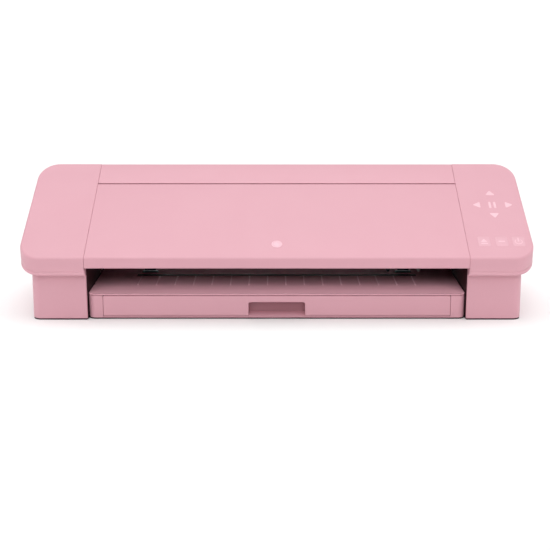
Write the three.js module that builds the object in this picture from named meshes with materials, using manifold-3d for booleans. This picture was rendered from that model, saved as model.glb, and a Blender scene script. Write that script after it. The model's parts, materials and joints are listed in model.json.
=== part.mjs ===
// Desktop electronic cutting machine: a wedge-shaped housing with a sloped flip-up lid, a fixed rear
// strip, two overhanging wing covers, a pull-out roll drawer under the cutting platform, and the feed
// rollers, carriage and belt drive inside. Millimetres, +X right, +Y to the rear, +Z up.
// The origin is on the table, under the middle of the machine.
import * as THREE from "three";
import { mergeVertices } from "three/addons/utils/BufferGeometryUtils.js";
import Module from "manifold-3d";

const wasm = await Module();
wasm.setup();

// ---- Driving dimensions ----
const WIDTH = 570; // over the wing covers
const DEPTH = 195; // wing front to rear face
const FRONT_Y = -DEPTH / 2; // front edge of the sloped top
const REAR_Y = DEPTH / 2;
const FRONT_Z = 72.4; // height of the sloped top's front edge
const SLOPE = THREE.MathUtils.degToRad(27.8); // tilt of the top
const TOP_RUN = 154; // depth of the sloped top, measured along the table
const WALL = 3; // shell thickness
const GAP = 0.4; // clearance between fixed shells

const TOP_REAR_Y = FRONT_Y + TOP_RUN; // rear edge of the sloped top
const WING_X = WIDTH / 2; // outer face of a wing cover
const SEAM_X = 211.6; // seam between the lid and the wings
const WING_DROP = 20.4; // height of the wing covers' walls
const WING_CORNER = 24; // plan radius of the wings' outer corners
const BASE_X = 272; // outer face of an end housing
const BASE_FRONT_Y = -89.5;
const BASE_CORNER = 10;
const OPENING_X = 210.7; // half width of the front opening
const BASE_Z = 0.7; // underside of the base, over the feet
const PAN_TOP_Z = 3;
const HOUSING_DROP = 10.5; // how far the end housings' rims lie below the sloped top
const REAR_KNEE_Z = 62; // top of the upright part of the rear face
const REAR_SHOULDER_Z = 130; // where the rear face starts to slope out

const LID_FRONT_DROP = 12; // height of the lid's front wall
const HINGE_S = 130.3; // lid hinge axis, measured up the slope from the front edge
const HINGE_N = -4; // and square to it
const BARREL_R = 4;
const STRIP_S = HINGE_S + BARREL_R + 0.6; // front edge of the fixed rear strip

const PLATFORM_Z = 29; // cutting surface
const PLATFORM_T = 2;
const PLATFORM_FRONT_Y = -86.5;
const DRIVE_Y = 20; // feed roller axis
const GRIT_R = 8;
const DRIVE_Z = PLATFORM_Z + 0.5 - GRIT_R;
const SHAFT_R = 4;
const ROLLER_X = 152; // feed rollers, either side of the middle
const PINCH_R = 7;
const PINCH_Z = DRIVE_Z + GRIT_R + PINCH_R + 0.3;
const PINCH_BAR_Y = 42;
const PINCH_BAR_Z = 44;
const LEVER_Y = 30;
const LEVER_Z = 66;
const FRAME_X = 214; // inner face of a side frame
const FRAME_T = 2;
const FRAME_TOP_Z = 86;

const RAIL_Y = 48; // front face of the carriage rail
const RAIL_D = 12;
const RAIL_Z = 58;
const RAIL_H = 26;
const PULLEY_X = 235;
const PULLEY_Y = RAIL_Y + RAIL_D / 2;
const PULLEY_R = 8;
const BELT_Z = 90;
const BELT_H = 6;
const BELT_T = 1.2;
const PARK_X = 150; // where the carriage is parked
const CARRIAGE_HALF = 38;
const TOOL_X = 18; // tools, either side of the carriage's middle
const CARTRIDGE_R = 10.5;

const DRAWER_X = 193.7; // half width of the drawer front
const DRAWER_TOP_Z = 26.5;
const DRAWER_BOTTOM_Z = 3.4;
const NOTCH_X = 31.5; // half width of the finger notch
const NOTCH_TOP_Z = 19.2;
const NOTCH_DEPTH = 13.7;
const TRAY_X = 190;
const TRAY_REAR_Y = -2;
const ROD_YS = [-56, -24]; // roll support rods
const ROD_Z = 13.5;
const ROD_R = 5;
const GUIDE_X = 165; // roll guides, either side of the middle

const GEAR_TEETH = 32;
const PINION_TEETH = 12;
const GEAR_X = -218; // inner face of the gear pair
const GEAR_W = 7;
const PINION_ANGLE = THREE.MathUtils.degToRad(60);
const CENTRE_DISTANCE = (GEAR_TEETH + PINION_TEETH) / 2; // module 1
const PINION_Y = DRIVE_Y + CENTRE_DISTANCE * Math.cos(PINION_ANGLE);
const PINION_Z = DRIVE_Z + CENTRE_DISTANCE * Math.sin(PINION_ANGLE);

// ---- Materials ----
function plastic(colour, roughness = 0.5) {
  return new THREE.MeshStandardMaterial({ color: colour, roughness, metalness: 0 });
}
function metal(colour, roughness = 0.35) {
  return new THREE.MeshStandardMaterial({ color: colour, roughness, metalness: 1 });
}
const pinkShell = plastic("#eeb7c3", 0.45);
const innerPlastic = plastic("#2d2a2c", 0.6);
const rubber = plastic("#39363a", 0.9);
const whitePlastic = plastic("#e9e6e4", 0.5);
const badgePlastic = plastic("#f9d9e0", 0.4);
const boardGreen = plastic("#2f6a45", 0.5);
const motorBlack = metal("#46464a", 0.45);
const steel = metal("#b9bbbf", 0.3);
const aluminium = metal("#c6c8ca", 0.4);
const brass = metal("#c9a653", 0.35);

// ---- Solids: three.js geometry in, manifold solid out, for joining and cutting ----
function solid(geometry) {
  const bare = geometry.clone();
  bare.deleteAttribute("normal");
  bare.deleteAttribute("uv");
  const merged = mergeVertices(bare, 1e-4);
  const indices = merged.index.array;
  const triangles = [];
  for (let i = 0; i < indices.length; i += 3) {
    const [a, b, c] = indices.slice(i, i + 3);
    if (a !== b && b !== c && a !== c) triangles.push(a, b, c);
  }
  const make = (order) =>
    new wasm.Manifold(
      new wasm.Mesh({
        numProp: 3,
        vertProperties: merged.attributes.position.array,
        triVerts: new Uint32Array(order),
      }),
    );
  const made = make(triangles);
  return made.volume() > 0 ? made : make(triangles.reverse());
}

function geometryOf(body) {
  const { vertProperties, triVerts } = body.getMesh();
  const indexed = new THREE.BufferGeometry();
  indexed.setAttribute("position", new THREE.BufferAttribute(vertProperties, 3));
  indexed.setIndex(new THREE.BufferAttribute(triVerts, 1));
  const geometry = indexed.toNonIndexed();
  geometry.computeVertexNormals();
  return geometry;
}

function block([x0, x1], [y0, y1], [z0, z1]) {
  const box = new THREE.BoxGeometry(x1 - x0, y1 - y0, z1 - z0);
  return solid(box.translate((x0 + x1) / 2, (y0 + y1) / 2, (z0 + z1) / 2));
}

function rodX(radius, [x0, x1], y, z, sides = 24) {
  const rod = new THREE.CylinderGeometry(radius, radius, x1 - x0, sides).rotateZ(Math.PI / 2);
  return solid(rod.translate((x0 + x1) / 2, y, z));
}

function rodY(radius, [y0, y1], x, z, sides = 24) {
  const rod = new THREE.CylinderGeometry(radius, radius, y1 - y0, sides);
  return solid(rod.translate(x, (y0 + y1) / 2, z));
}

function rodZ(radius, [z0, z1], x, y, sides = 24) {
  const rod = new THREE.CylinderGeometry(radius, radius, z1 - z0, sides).rotateX(Math.PI / 2);
  return solid(rod.translate(x, y, (z0 + z1) / 2));
}

// A body turned about the X axis through (y, z), from [x, radius] pairs that start and end at radius 0.
function turnedX(profile, y, z, sides = 24) {
  const points = profile.map(([x, r]) => new THREE.Vector2(r, x));
  return solid(new THREE.LatheGeometry(points, sides).rotateZ(-Math.PI / 2).translate(0, y, z));
}

function turnedZ(profile, x, y, sides = 28) {
  const points = profile.map(([z, r]) => new THREE.Vector2(r, z));
  return solid(new THREE.LatheGeometry(points, sides).rotateX(Math.PI / 2).translate(x, y, 0));
}

// A side outline of [y, z] points, carried from x0 to x1.
const ALONG_X = new THREE.Matrix4().makeBasis(
  new THREE.Vector3(0, 1, 0),
  new THREE.Vector3(0, 0, 1),
  new THREE.Vector3(1, 0, 0),
);
function sideOutline(outline, [x0, x1], holes = []) {
  const shape = new THREE.Shape(outline.map(([y, z]) => new THREE.Vector2(y, z)));
  for (const { y, z, r } of holes) shape.holes.push(new THREE.Path().absarc(y, z, r, 0, 2 * Math.PI));
  const options = { depth: x1 - x0, bevelEnabled: false, curveSegments: 12 };
  return solid(new THREE.ExtrudeGeometry(shape, options).applyMatrix4(ALONG_X).translate(x0, 0, 0));
}

// A plan rectangle with its own radius at each corner, raised from z0 to z1.
function planBlock([x0, x1], [y0, y1], [z0, z1], { fl = 0, fr = 0, rl = 0, rr = 0 }) {
  const shape = new THREE.Shape();
  shape.moveTo(x0 + fl, y0);
  shape.lineTo(x1 - fr, y0);
  if (fr) shape.absarc(x1 - fr, y0 + fr, fr, -Math.PI / 2, 0);
  shape.lineTo(x1, y1 - rr);
  if (rr) shape.absarc(x1 - rr, y1 - rr, rr, 0, Math.PI / 2);
  shape.lineTo(x0 + rl, y1);
  if (rl) shape.absarc(x0 + rl, y1 - rl, rl, Math.PI / 2, Math.PI);
  shape.lineTo(x0, y0 + fl);
  if (fl) shape.absarc(x0 + fl, y0 + fl, fl, Math.PI, 1.5 * Math.PI);
  const options = { depth: z1 - z0, bevelEnabled: false, curveSegments: 6 };
  return solid(new THREE.ExtrudeGeometry(shape, options).translate(0, 0, z0));
}

// ---- The sloped top ----
const topZ = (y) => FRONT_Z + (y - FRONT_Y) * Math.tan(SLOPE);
// The [y, z] place of a point s up the slope from the front edge and n square to the top.
function onSlope(s, n) {
  return [
    FRONT_Y + s * Math.cos(SLOPE) - n * Math.sin(SLOPE),
    FRONT_Z + s * Math.sin(SLOPE) + n * Math.cos(SLOPE),
  ];
}
// Everything between two drops below the sloped top, from y0 to y1.
function slopedLayer([drop0, drop1], [x0, x1], [y0, y1]) {
  const outline = [
    [y0, topZ(y0) - drop1],
    [y1, topZ(y1) - drop1],
    [y1, topZ(y1) - drop0],
    [y0, topZ(y0) - drop0],
  ];
  return sideOutline(outline, [x0, x1]);
}

// ---- Assembly ----
const machine = new THREE.Group();
const slopedTop = new THREE.Group(); // x across, y up the slope, z square to the top
slopedTop.position.set(0, FRONT_Y, FRONT_Z);
slopedTop.rotation.x = SLOPE;
const carriage = new THREE.Group();
carriage.position.x = PARK_X;
machine.add(slopedTop, carriage);

function add(name, body, material, parent = machine) {
  const mesh = new THREE.Mesh(geometryOf(body), material);
  mesh.name = name;
  parent.add(mesh);
  return mesh;
}
// side is -1 for the left and 1 for the right; span gives an x range on that side.
const SIDES = [
  ["left", -1],
  ["right", 1],
];
const span = (side, inner, outer) => (side < 0 ? [-outer, -inner] : [inner, outer]);
const outerCorners = (side, r) => (side < 0 ? { fl: r, rl: r } : { fr: r, rr: r });
const FAR = 400; // past every face, for cutting bodies

// ---- End housings: tall ring walls, open at the top under the wings and at the bottom over the pan ----
const rearOutline = [
  [REAR_Y, BASE_Z],
  [REAR_Y, REAR_KNEE_Z - 4],
  [REAR_Y - 1.5, REAR_KNEE_Z],
  [TOP_REAR_Y - WALL - 0.6, REAR_SHOULDER_Z],
];
const rearInset = [
  [REAR_Y - WALL, BASE_Z],
  [REAR_Y - WALL, REAR_KNEE_Z - 4.8],
  [REAR_Y - WALL - 1.2, REAR_KNEE_Z - 1.6],
  [TOP_REAR_Y - 2 * WALL - 0.6, REAR_SHOULDER_Z - 0.9],
];
const PORTS = [
  { name: "power_inlet", x: 232, z: 18 },
  { name: "usb_port", x: 254, z: 18 },
];

function endHousing(side) {
  const shoulder = rearOutline.at(-1)[0];
  const outline = [
    [BASE_FRONT_Y, BASE_Z],
    ...rearOutline,
    [shoulder, topZ(shoulder) - HOUSING_DROP],
    [BASE_FRONT_Y, topZ(BASE_FRONT_Y) - HOUSING_DROP],
  ];
  const innerShoulder = rearInset.at(-1)[0];
  const hollow = [
    [BASE_FRONT_Y + WALL, -FAR],
    [REAR_Y - WALL, -FAR],
    ...rearInset,
    [innerShoulder, FAR],
    [BASE_FRONT_Y + WALL, FAR],
  ];
  const plan = planBlock(span(side, OPENING_X, BASE_X), [BASE_FRONT_Y, REAR_Y], [BASE_Z, 200], {
    ...outerCorners(side, BASE_CORNER),
  });
  const planHollow = planBlock(
    span(side, OPENING_X + WALL, BASE_X - WALL),
    [BASE_FRONT_Y + WALL, REAR_Y - WALL],
    [-FAR, FAR],
    outerCorners(side, BASE_CORNER - WALL),
  );
  let body = plan.intersect(sideOutline(outline, span(side, 200, 300)));
  body = body.subtract(planHollow.intersect(sideOutline(hollow, span(side, 200, 300))));
  const innerWall = span(side, OPENING_X - 1, OPENING_X + WALL + 0.1);
  const rearInside = REAR_Y - WALL - 0.5;
  body = body.subtract(block(innerWall, [PLATFORM_FRONT_Y, rearInside], [0, PAN_TOP_Z + GAP]));
  body = body.subtract(block(innerWall, [24, 66], [38, 100])); // rail, belt, pinch bar and lever
  body = body.subtract(rodX(GRIT_R + 1, innerWall, DRIVE_Y, DRIVE_Z, 20));
  if (side > 0) {
    for (const { x, z } of PORTS) body = body.subtract(rodY(6, [REAR_Y - 5, REAR_Y + 1], x, z, 20));
  }
  return body;
}
for (const [label, side] of SIDES) add(`${label}_end_housing`, endHousing(side), pinkShell);

// ---- Wing covers: overhanging caps with a bottom flange around the housings ----
function wingCover(side) {
  const plan = planBlock(span(side, SEAM_X + 0.3, WING_X), [FRONT_Y, TOP_REAR_Y], [0, 200], {
    ...outerCorners(side, WING_CORNER),
  });
  const hollow = planBlock(
    span(side, SEAM_X + 0.3 + WALL, WING_X - WALL),
    [FRONT_Y + WALL, TOP_REAR_Y - WALL],
    [0, 200],
    outerCorners(side, WING_CORNER - WALL),
  );
  const overHousing = planBlock(
    span(side, OPENING_X - 1, BASE_X + 0.5),
    [BASE_FRONT_Y - 0.5, TOP_REAR_Y - WALL],
    [0, 200],
    { ...(side < 0 ? { fl: BASE_CORNER } : { fr: BASE_CORNER }) },
  );
  const reach = span(side, 200, 300);
  const depth = [FRONT_Y - 10, TOP_REAR_Y + 10];
  let body = plan.intersect(slopedLayer([0, WING_DROP], reach, depth));
  body = body.subtract(hollow.intersect(slopedLayer([WALL * 1.13, WING_DROP - 2.5], reach, depth)));
  body = body.subtract(overHousing.intersect(slopedLayer([HOUSING_DROP - 0.6, FAR], reach, depth)));
  const lipZ = [FRONT_Z - WING_DROP, FRONT_Z - LID_FRONT_DROP - 0.5];
  body = body.add(block(span(side, OPENING_X, SEAM_X + 2), [FRONT_Y, FRONT_Y + WALL], lipZ));
  const [pinY, pinZ] = onSlope(HINGE_S, HINGE_N);
  return body.subtract(rodX(1.8, span(side, SEAM_X - 1, SEAM_X + 7), pinY, pinZ, 16));
}
for (const [label, side] of SIDES) add(`${label}_wing_cover`, wingCover(side), pinkShell);

// ---- Fixed rear strip, rear cover, base pan, feet ----
const stripRear = topZ(TOP_REAR_Y) - WING_DROP;
add(
  "rear_top_strip",
  sideOutline(
    [
      onSlope(STRIP_S, 0),
      onSlope(STRIP_S, -9),
      onSlope(STRIP_S + WALL, -9),
      onSlope(STRIP_S + WALL, -WALL),
      [TOP_REAR_Y - WALL, topZ(TOP_REAR_Y - WALL) - WALL * 1.13],
      [TOP_REAR_Y - WALL, stripRear],
      [TOP_REAR_Y, stripRear],
      [TOP_REAR_Y, topZ(TOP_REAR_Y)],
    ],
    [-SEAM_X + 0.1, SEAM_X - 0.1],
  ),
  pinkShell,
);

const SLOT_X = 172; // half width of the rear media slot
const SLOT_Z = [PLATFORM_Z + 0.5, 42];
const coverTopZ = topZ(TOP_REAR_Y - 2 * WALL) - WALL * 1.13 - 1.5;
const rearCover = sideOutline(
  [
    ...rearOutline,
    [rearOutline.at(-1)[0], coverTopZ],
    [rearInset.at(-1)[0], coverTopZ],
    ...rearInset.toReversed(),
  ],
  [-OPENING_X + GAP, OPENING_X - GAP],
);
add(
  "rear_cover",
  rearCover.subtract(block([-SLOT_X, SLOT_X], [REAR_Y - 10, REAR_Y + 1], SLOT_Z)),
  pinkShell,
);

const panEdge = BASE_X - WALL - 0.5;
const panCorners = { fl: 4, fr: 4, rl: BASE_CORNER - WALL, rr: BASE_CORNER - WALL };
const SILL_X = NOTCH_X + 3; // half width of the sill under the finger notch
const SILL_REAR_Y = -73.3;
const basePan = planBlock(
  [-panEdge, panEdge],
  [PLATFORM_FRONT_Y + 3.5, REAR_Y - WALL - 0.5],
  [BASE_Z, PAN_TOP_Z],
  panCorners,
);
const sillGap = block([-SILL_X - GAP, SILL_X + GAP], [-FAR, SILL_REAR_Y + GAP], [-FAR, FAR]);
let pan = basePan.subtract(sillGap);
const FOOT_R = 9;
const FOOT_TOP_Z = 1.2; // the feet sit in shallow pockets under the pan
for (const [label, side] of SIDES) {
  for (const [row, y] of [
    ["front", -66],
    ["rear", 76],
  ]) {
    add(`foot_${row}_${label}`, rodZ(FOOT_R, [0, FOOT_TOP_Z], side * 245, y), rubber);
    pan = pan.subtract(rodZ(FOOT_R + GAP, [-1, FOOT_TOP_Z + GAP], side * 245, y));
  }
}
add("base_pan", pan, innerPlastic);

// ---- Cutting platform with its paper ribs and strip, and the apron around the drawer ----
const RIB_COUNT = 16;
const RIB_PITCH = 21.6;
const RIB_DEPTH = [-47, -7];
const STRIP_Y = 0; // the soft strip under the blade
const STRIP_HALF = 4;
const STRIP_X = 165;
const NOSE_CORNER = 8; // plan radius of the platform's and the apron's front corners
function cuttingPlatform() {
  const edge = OPENING_X - 0.5;
  const bottom = PLATFORM_Z - PLATFORM_T;
  const corners = { fl: NOSE_CORNER, fr: NOSE_CORNER };
  const depth = [PLATFORM_FRONT_Y, REAR_Y - WALL - 0.5];
  let body = planBlock([-edge, edge], depth, [bottom, PLATFORM_Z], corners);
  for (let i = 0; i < RIB_COUNT; i++) {
    const x = (i - (RIB_COUNT - 1) / 2) * RIB_PITCH;
    body = body.add(block([x - 0.6, x + 0.6], RIB_DEPTH, [bottom, PLATFORM_Z + 0.8]));
  }
  const groove = [STRIP_Y - STRIP_HALF - 0.3, STRIP_Y + STRIP_HALF + 0.3];
  body = body.subtract(block([-STRIP_X - 0.3, STRIP_X + 0.3], groove, [PLATFORM_Z - 0.9, PLATFORM_Z + 1]));
  for (const side of [-1, 1]) {
    const x = side * ROLLER_X;
    body = body.subtract(block([x - 10, x + 10], [DRIVE_Y - 8, DRIVE_Y + 8], [bottom - 1, PLATFORM_Z + 1]));
  }
  return body;
}
add("cutting_platform", cuttingPlatform(), pinkShell);
add(
  "cutting_strip",
  block([-STRIP_X, STRIP_X], [STRIP_Y - STRIP_HALF, STRIP_Y + STRIP_HALF], [PLATFORM_Z - 0.6, PLATFORM_Z + 0.1]),
  innerPlastic,
);

const APRON_TOP_Z = PLATFORM_Z - PLATFORM_T - 0.3;
const APRON_X = OPENING_X - GAP;
function drawerApron() {
  const returnY = PLATFORM_FRONT_Y + NOSE_CORNER + 1;
  const outer = planBlock([-APRON_X, APRON_X], [PLATFORM_FRONT_Y, returnY], [BASE_Z, APRON_TOP_Z], {
    fl: NOSE_CORNER,
    fr: NOSE_CORNER,
  });
  const inner = planBlock([-APRON_X + 3, APRON_X - 3], [PLATFORM_FRONT_Y + 3, FAR], [-FAR, FAR], {
    fl: NOSE_CORNER - 3,
    fr: NOSE_CORNER - 3,
  });
  const sill = block([-SILL_X, SILL_X], [PLATFORM_FRONT_Y + 2, SILL_REAR_Y], [BASE_Z, DRAWER_BOTTOM_Z - 0.5]);
  const drawerWay = block([-DRAWER_X - 0.5, DRAWER_X + 0.5], [-FAR, 0], [DRAWER_BOTTOM_Z - 0.5, FAR]);
  const returns = outer.subtract(inner).subtract(
    block([-FAR, FAR], [PLATFORM_FRONT_Y + 3.1, FAR], [-FAR, PAN_TOP_Z + GAP]),
  );
  return returns.add(sill).subtract(drawerWay);
}
add("drawer_apron", drawerApron(), pinkShell);

// ---- Lid: sloped plate with a front wall, a rear hinge barrel and stiffening ribs ----
const LID_X = SEAM_X - 0.3;
function lidCover() {
  const barrel = [];
  for (let i = 0; i <= 8; i++) {
    const a = Math.PI / 2 - (i * Math.PI) / 8;
    barrel.push(onSlope(HINGE_S + BARREL_R * Math.cos(a), HINGE_N + BARREL_R * Math.sin(a)));
  }
  const inFrontY = FRONT_Y + WALL;
  const frontBottom = FRONT_Z - LID_FRONT_DROP;
  const outline = [
    [FRONT_Y, frontBottom],
    [FRONT_Y, FRONT_Z],
    ...barrel,
    onSlope(HINGE_S - 4.3, HINGE_N - BARREL_R),
    onSlope(HINGE_S - 4.3, -WALL),
    [inFrontY, topZ(inFrontY) - WALL / Math.cos(SLOPE)],
    [inFrontY, frontBottom],
  ];
  let body = sideOutline(outline, [-LID_X, LID_X]);
  const skirt = [onSlope(2, -2), onSlope(HINGE_S - 6, -2), onSlope(HINGE_S - 6, -7), onSlope(5, -7)];
  for (const x of [-LID_X, -70, 67, LID_X - WALL]) body = body.add(sideOutline(skirt, [x, x + WALL]));
  const [pinY, pinZ] = onSlope(HINGE_S, HINGE_N);
  for (const side of [-1, 1]) {
    body = body.subtract(rodX(1.8, span(side, LID_X - 9, LID_X + 1), pinY, pinZ, 16));
  }
  return body.subtract(badgeDisc(BADGE_R + 0.3, [-0.9, 1]));
}
const BADGE_S = 23.2;
const BADGE_R = 6;
function badgeDisc(radius, [n0, n1]) {
  const disc = new THREE.CylinderGeometry(radius, radius, n1 - n0, 32).rotateX(Math.PI / 2);
  disc.translate(0, BADGE_S, (n0 + n1) / 2).rotateX(SLOPE).translate(0, FRONT_Y, FRONT_Z);
  return solid(disc);
}
add("lid_cover", lidCover(), pinkShell);
add("lid_badge", badgeDisc(BADGE_R, [-0.6, 0.2]), badgePlastic);
for (const [label, side] of SIDES) {
  add(
    `lid_hinge_pin_${label}`,
    rodX(1.5, span(side, LID_X - 8, SEAM_X + 6), HINGE_S, HINGE_N, 16),
    steel,
    slopedTop,
  );
}

// The touch keys are a sensor board under the right wing's skin.
add(
  "touch_sensor_board",
  block([224, 274], [20, 124], [-5.4, -3.8]),
  boardGreen,
  slopedTop,
);

// ---- Side frames, rail, bearings ----
function sideFrame(side) {
  const outline = [
    [4, 3.3],
    [72, 3.3],
    [72, FRAME_TOP_Z - 10],
    [62, FRAME_TOP_Z],
    [14, FRAME_TOP_Z],
    [4, 70],
  ];
  const holes = [
    { y: DRIVE_Y, z: DRIVE_Z, r: 8.3 },
    { y: PINCH_BAR_Y, z: PINCH_BAR_Z, r: 3.9 },
  ];
  if (side < 0) holes.push({ y: LEVER_Y, z: LEVER_Z, r: 3.1 });
  const plate = sideOutline(outline, span(side, FRAME_X, FRAME_X + FRAME_T), holes);
  return plate.add(block(span(side, FRAME_X, FRAME_X + 12), [46, 72], [3.3, 5.3]));
}
for (const [label, side] of SIDES) {
  add(`${label}_side_frame`, sideFrame(side), steel);
  const ring = rodX(8, span(side, FRAME_X - 0.5, FRAME_X + 3), DRIVE_Y, DRIVE_Z);
  const bore = rodX(SHAFT_R + 0.3, span(side, FRAME_X - 1, FRAME_X + 4), DRIVE_Y, DRIVE_Z);
  add(`shaft_bearing_${label}`, ring.subtract(bore), brass);
}
const railGroove = 3;
add(
  "carriage_rail",
  sideOutline(
    [
      [RAIL_Y, RAIL_Z],
      [RAIL_Y + RAIL_D, RAIL_Z],
      [RAIL_Y + RAIL_D, RAIL_Z + RAIL_H],
      [RAIL_Y, RAIL_Z + RAIL_H],
      [RAIL_Y, RAIL_Z + RAIL_H - 6],
      [RAIL_Y + railGroove, RAIL_Z + RAIL_H - 8],
      [RAIL_Y + railGroove, RAIL_Z + 8],
      [RAIL_Y, RAIL_Z + 6],
    ],
    [-FRAME_X + 0.3, FRAME_X - 0.3],
  ),
  aluminium,
);

// ---- Feed drive: grit-roller shaft, gear pair and motor ----
const gritEdge = [ROLLER_X - 9, ROLLER_X + 9];
const SHAFT_END = 225.6;
add(
  "drive_shaft",
  turnedX(
    [
      [-SHAFT_END, 0],
      [-SHAFT_END, SHAFT_R],
      [-gritEdge[1], SHAFT_R],
      [-gritEdge[1], GRIT_R],
      [-gritEdge[0], GRIT_R],
      [-gritEdge[0], SHAFT_R],
      [gritEdge[0], SHAFT_R],
      [gritEdge[0], GRIT_R],
      [gritEdge[1], GRIT_R],
      [gritEdge[1], SHAFT_R],
      [FRAME_X + 4, SHAFT_R],
      [FRAME_X + 4, 0],
    ],
    DRIVE_Y,
    DRIVE_Z,
  ),
  steel,
);

// A spur gear of module 1. turn is the angle of the first tooth's middle.
function gear(teeth, y, z, turn) {
  const pitch = (2 * Math.PI) / teeth;
  const root = teeth / 2 - 1.2;
  const tip = teeth / 2 + 0.8;
  const outline = [];
  for (let i = 0; i < teeth; i++) {
    const middle = turn + i * pitch;
    for (const [share, radius] of [
      [-0.3, root],
      [-0.13, tip],
      [0.13, tip],
      [0.3, root],
    ]) {
      const a = middle + share * pitch;
      outline.push([y + radius * Math.cos(a), z + radius * Math.sin(a)]);
    }
  }
  return sideOutline(outline, [GEAR_X - GEAR_W, GEAR_X]);
}
const gearBore = rodX(SHAFT_R + 0.3, [GEAR_X - GEAR_W - 1, GEAR_X + 1], DRIVE_Y, DRIVE_Z);
add("drive_gear", gear(GEAR_TEETH, DRIVE_Y, DRIVE_Z, PINION_ANGLE).subtract(gearBore), whitePlastic);

const MOTOR_SHAFT_R = 2;
const pinionTurn = PINION_ANGLE + Math.PI + Math.PI / PINION_TEETH; // a gap meets the gear's tooth
const pinionShaft = rodX(MOTOR_SHAFT_R, [-232, GEAR_X - 1], PINION_Y, PINION_Z, 16);
add("motor_pinion", gear(PINION_TEETH, PINION_Y, PINION_Z, pinionTurn).add(pinionShaft), brass);

const BRACKET_X = [-228.4, -226.4];
function feedMotorBracket() {
  const plate = sideOutline(
    [
      [24, 28],
      [56, 28],
      [56, 58],
      [40, 70],
      [24, 70],
    ],
    BRACKET_X,
    [{ y: PINION_Y, z: PINION_Z, r: 3 }],
  );
  const posts = [
    [52, 52],
    [28, 58],
  ];
  return posts.reduce(
    (body, [y, z]) => body.add(rodX(2.5, [BRACKET_X[1] - 0.5, -FRAME_X - FRAME_T - 0.3], y, z, 12)),
    plate,
  );
}
add("feed_motor_bracket", feedMotorBracket(), steel);
const feedMotor = rodX(15, [-264, BRACKET_X[0] - 0.3], PINION_Y, PINION_Z, 28);
add(
  "feed_motor",
  feedMotor.subtract(rodX(MOTOR_SHAFT_R + 0.4, [-236, -226], PINION_Y, PINION_Z, 16)),
  motorBlack,
);

// ---- Pinch rollers on a lifting bar, and the load lever that turns it ----
add(
  "pinch_bar",
  rodX(3.5, [-FRAME_X - FRAME_T - 1.5, FRAME_X + FRAME_T + 1.5], PINCH_BAR_Y, PINCH_BAR_Z, 16),
  steel,
);
function pinchArm(side) {
  const x = side * ROLLER_X;
  const outline = [
    [DRIVE_Y - 4.5, PINCH_Z - 3],
    [DRIVE_Y + 6, PINCH_Z - 4],
    [PINCH_BAR_Y + 6, PINCH_BAR_Z - 5],
    [PINCH_BAR_Y + 6, PINCH_BAR_Z + 6.5],
    [DRIVE_Y + 8, PINCH_Z + 10],
    [DRIVE_Y - 3, PINCH_Z + 4],
  ];
  const holes = [
    { y: DRIVE_Y, z: PINCH_Z, r: 1.8 },
    { y: PINCH_BAR_Y, z: PINCH_BAR_Z, r: 3.8 },
  ];
  const arm = sideOutline(outline, [x - 10, x + 10], holes);
  return arm.subtract(block([x - 7, x + 7], [DRIVE_Y - 10, DRIVE_Y + 9], [20, 70]));
}
for (const [label, side] of SIDES) {
  add(`pinch_arm_${label}`, pinchArm(side), innerPlastic);
  const x = side * ROLLER_X;
  const roller = turnedX(
    [
      [x - 9.5, 0],
      [x - 9.5, 1.5],
      [x - 6.5, 1.5],
      [x - 6.5, PINCH_R],
      [x + 6.5, PINCH_R],
      [x + 6.5, 1.5],
      [x + 9.5, 1.5],
      [x + 9.5, 0],
    ],
    DRIVE_Y,
    PINCH_Z,
  );
  add(`pinch_roller_${label}`, roller, rubber);
}
function loadLever() {
  const plate = sideOutline(
    [
      [LEVER_Y + 6, LEVER_Z - 3],
      [LEVER_Y + 5, LEVER_Z + 5],
      [LEVER_Y - 44, LEVER_Z + 29],
      [LEVER_Y - 52, LEVER_Z + 29],
      [LEVER_Y - 52, LEVER_Z + 23],
      [LEVER_Y - 4, LEVER_Z - 6],
    ],
    [-204, -200],
  );
  const grip = block([-205.5, -196.5], [LEVER_Y - 56, LEVER_Y - 44], [LEVER_Z + 23, LEVER_Z + 30]);
  return plate.add(grip).add(rodX(2.7, [-217.5, -201], LEVER_Y, LEVER_Z, 16));
}
add("load_lever", loadLever(), whitePlastic);

// ---- Carriage drive: motor, pulleys and belt ----
const pulleyProfile = [
  [81, 0],
  [81, 2.5],
  [BELT_Z - 1.4, 2.5],
  [BELT_Z - 1.4, PULLEY_R + 2],
  [BELT_Z - 0.4, PULLEY_R + 2],
  [BELT_Z - 0.4, PULLEY_R],
  [BELT_Z + BELT_H + 0.4, PULLEY_R],
  [BELT_Z + BELT_H + 0.4, PULLEY_R + 2],
  [BELT_Z + BELT_H + 1.4, PULLEY_R + 2],
  [BELT_Z + BELT_H + 1.4, 0],
];
add("motor_pulley", turnedZ(pulleyProfile, PULLEY_X, PULLEY_Y), aluminium);
add("idler_pulley", turnedZ(pulleyProfile, -PULLEY_X, PULLEY_Y), aluminium);
const shaftBore = (x) => rodZ(2.9, [79.5, 100], x, PULLEY_Y, 20);
const carriageMotor = planBlock([218, 252], [PULLEY_Y - 17, PULLEY_Y + 17], [44, 84], {
  fl: 4,
  fr: 4,
  rl: 4,
  rr: 4,
});
add("carriage_motor", carriageMotor.subtract(shaftBore(PULLEY_X)), motorBlack);
const idlerBracket = block([-246, -FRAME_X - FRAME_T - 0.3], [PULLEY_Y - 9, PULLEY_Y + 9], [78, 85]);
add("idler_bracket", idlerBracket.subtract(shaftBore(-PULLEY_X)), steel);

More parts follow.
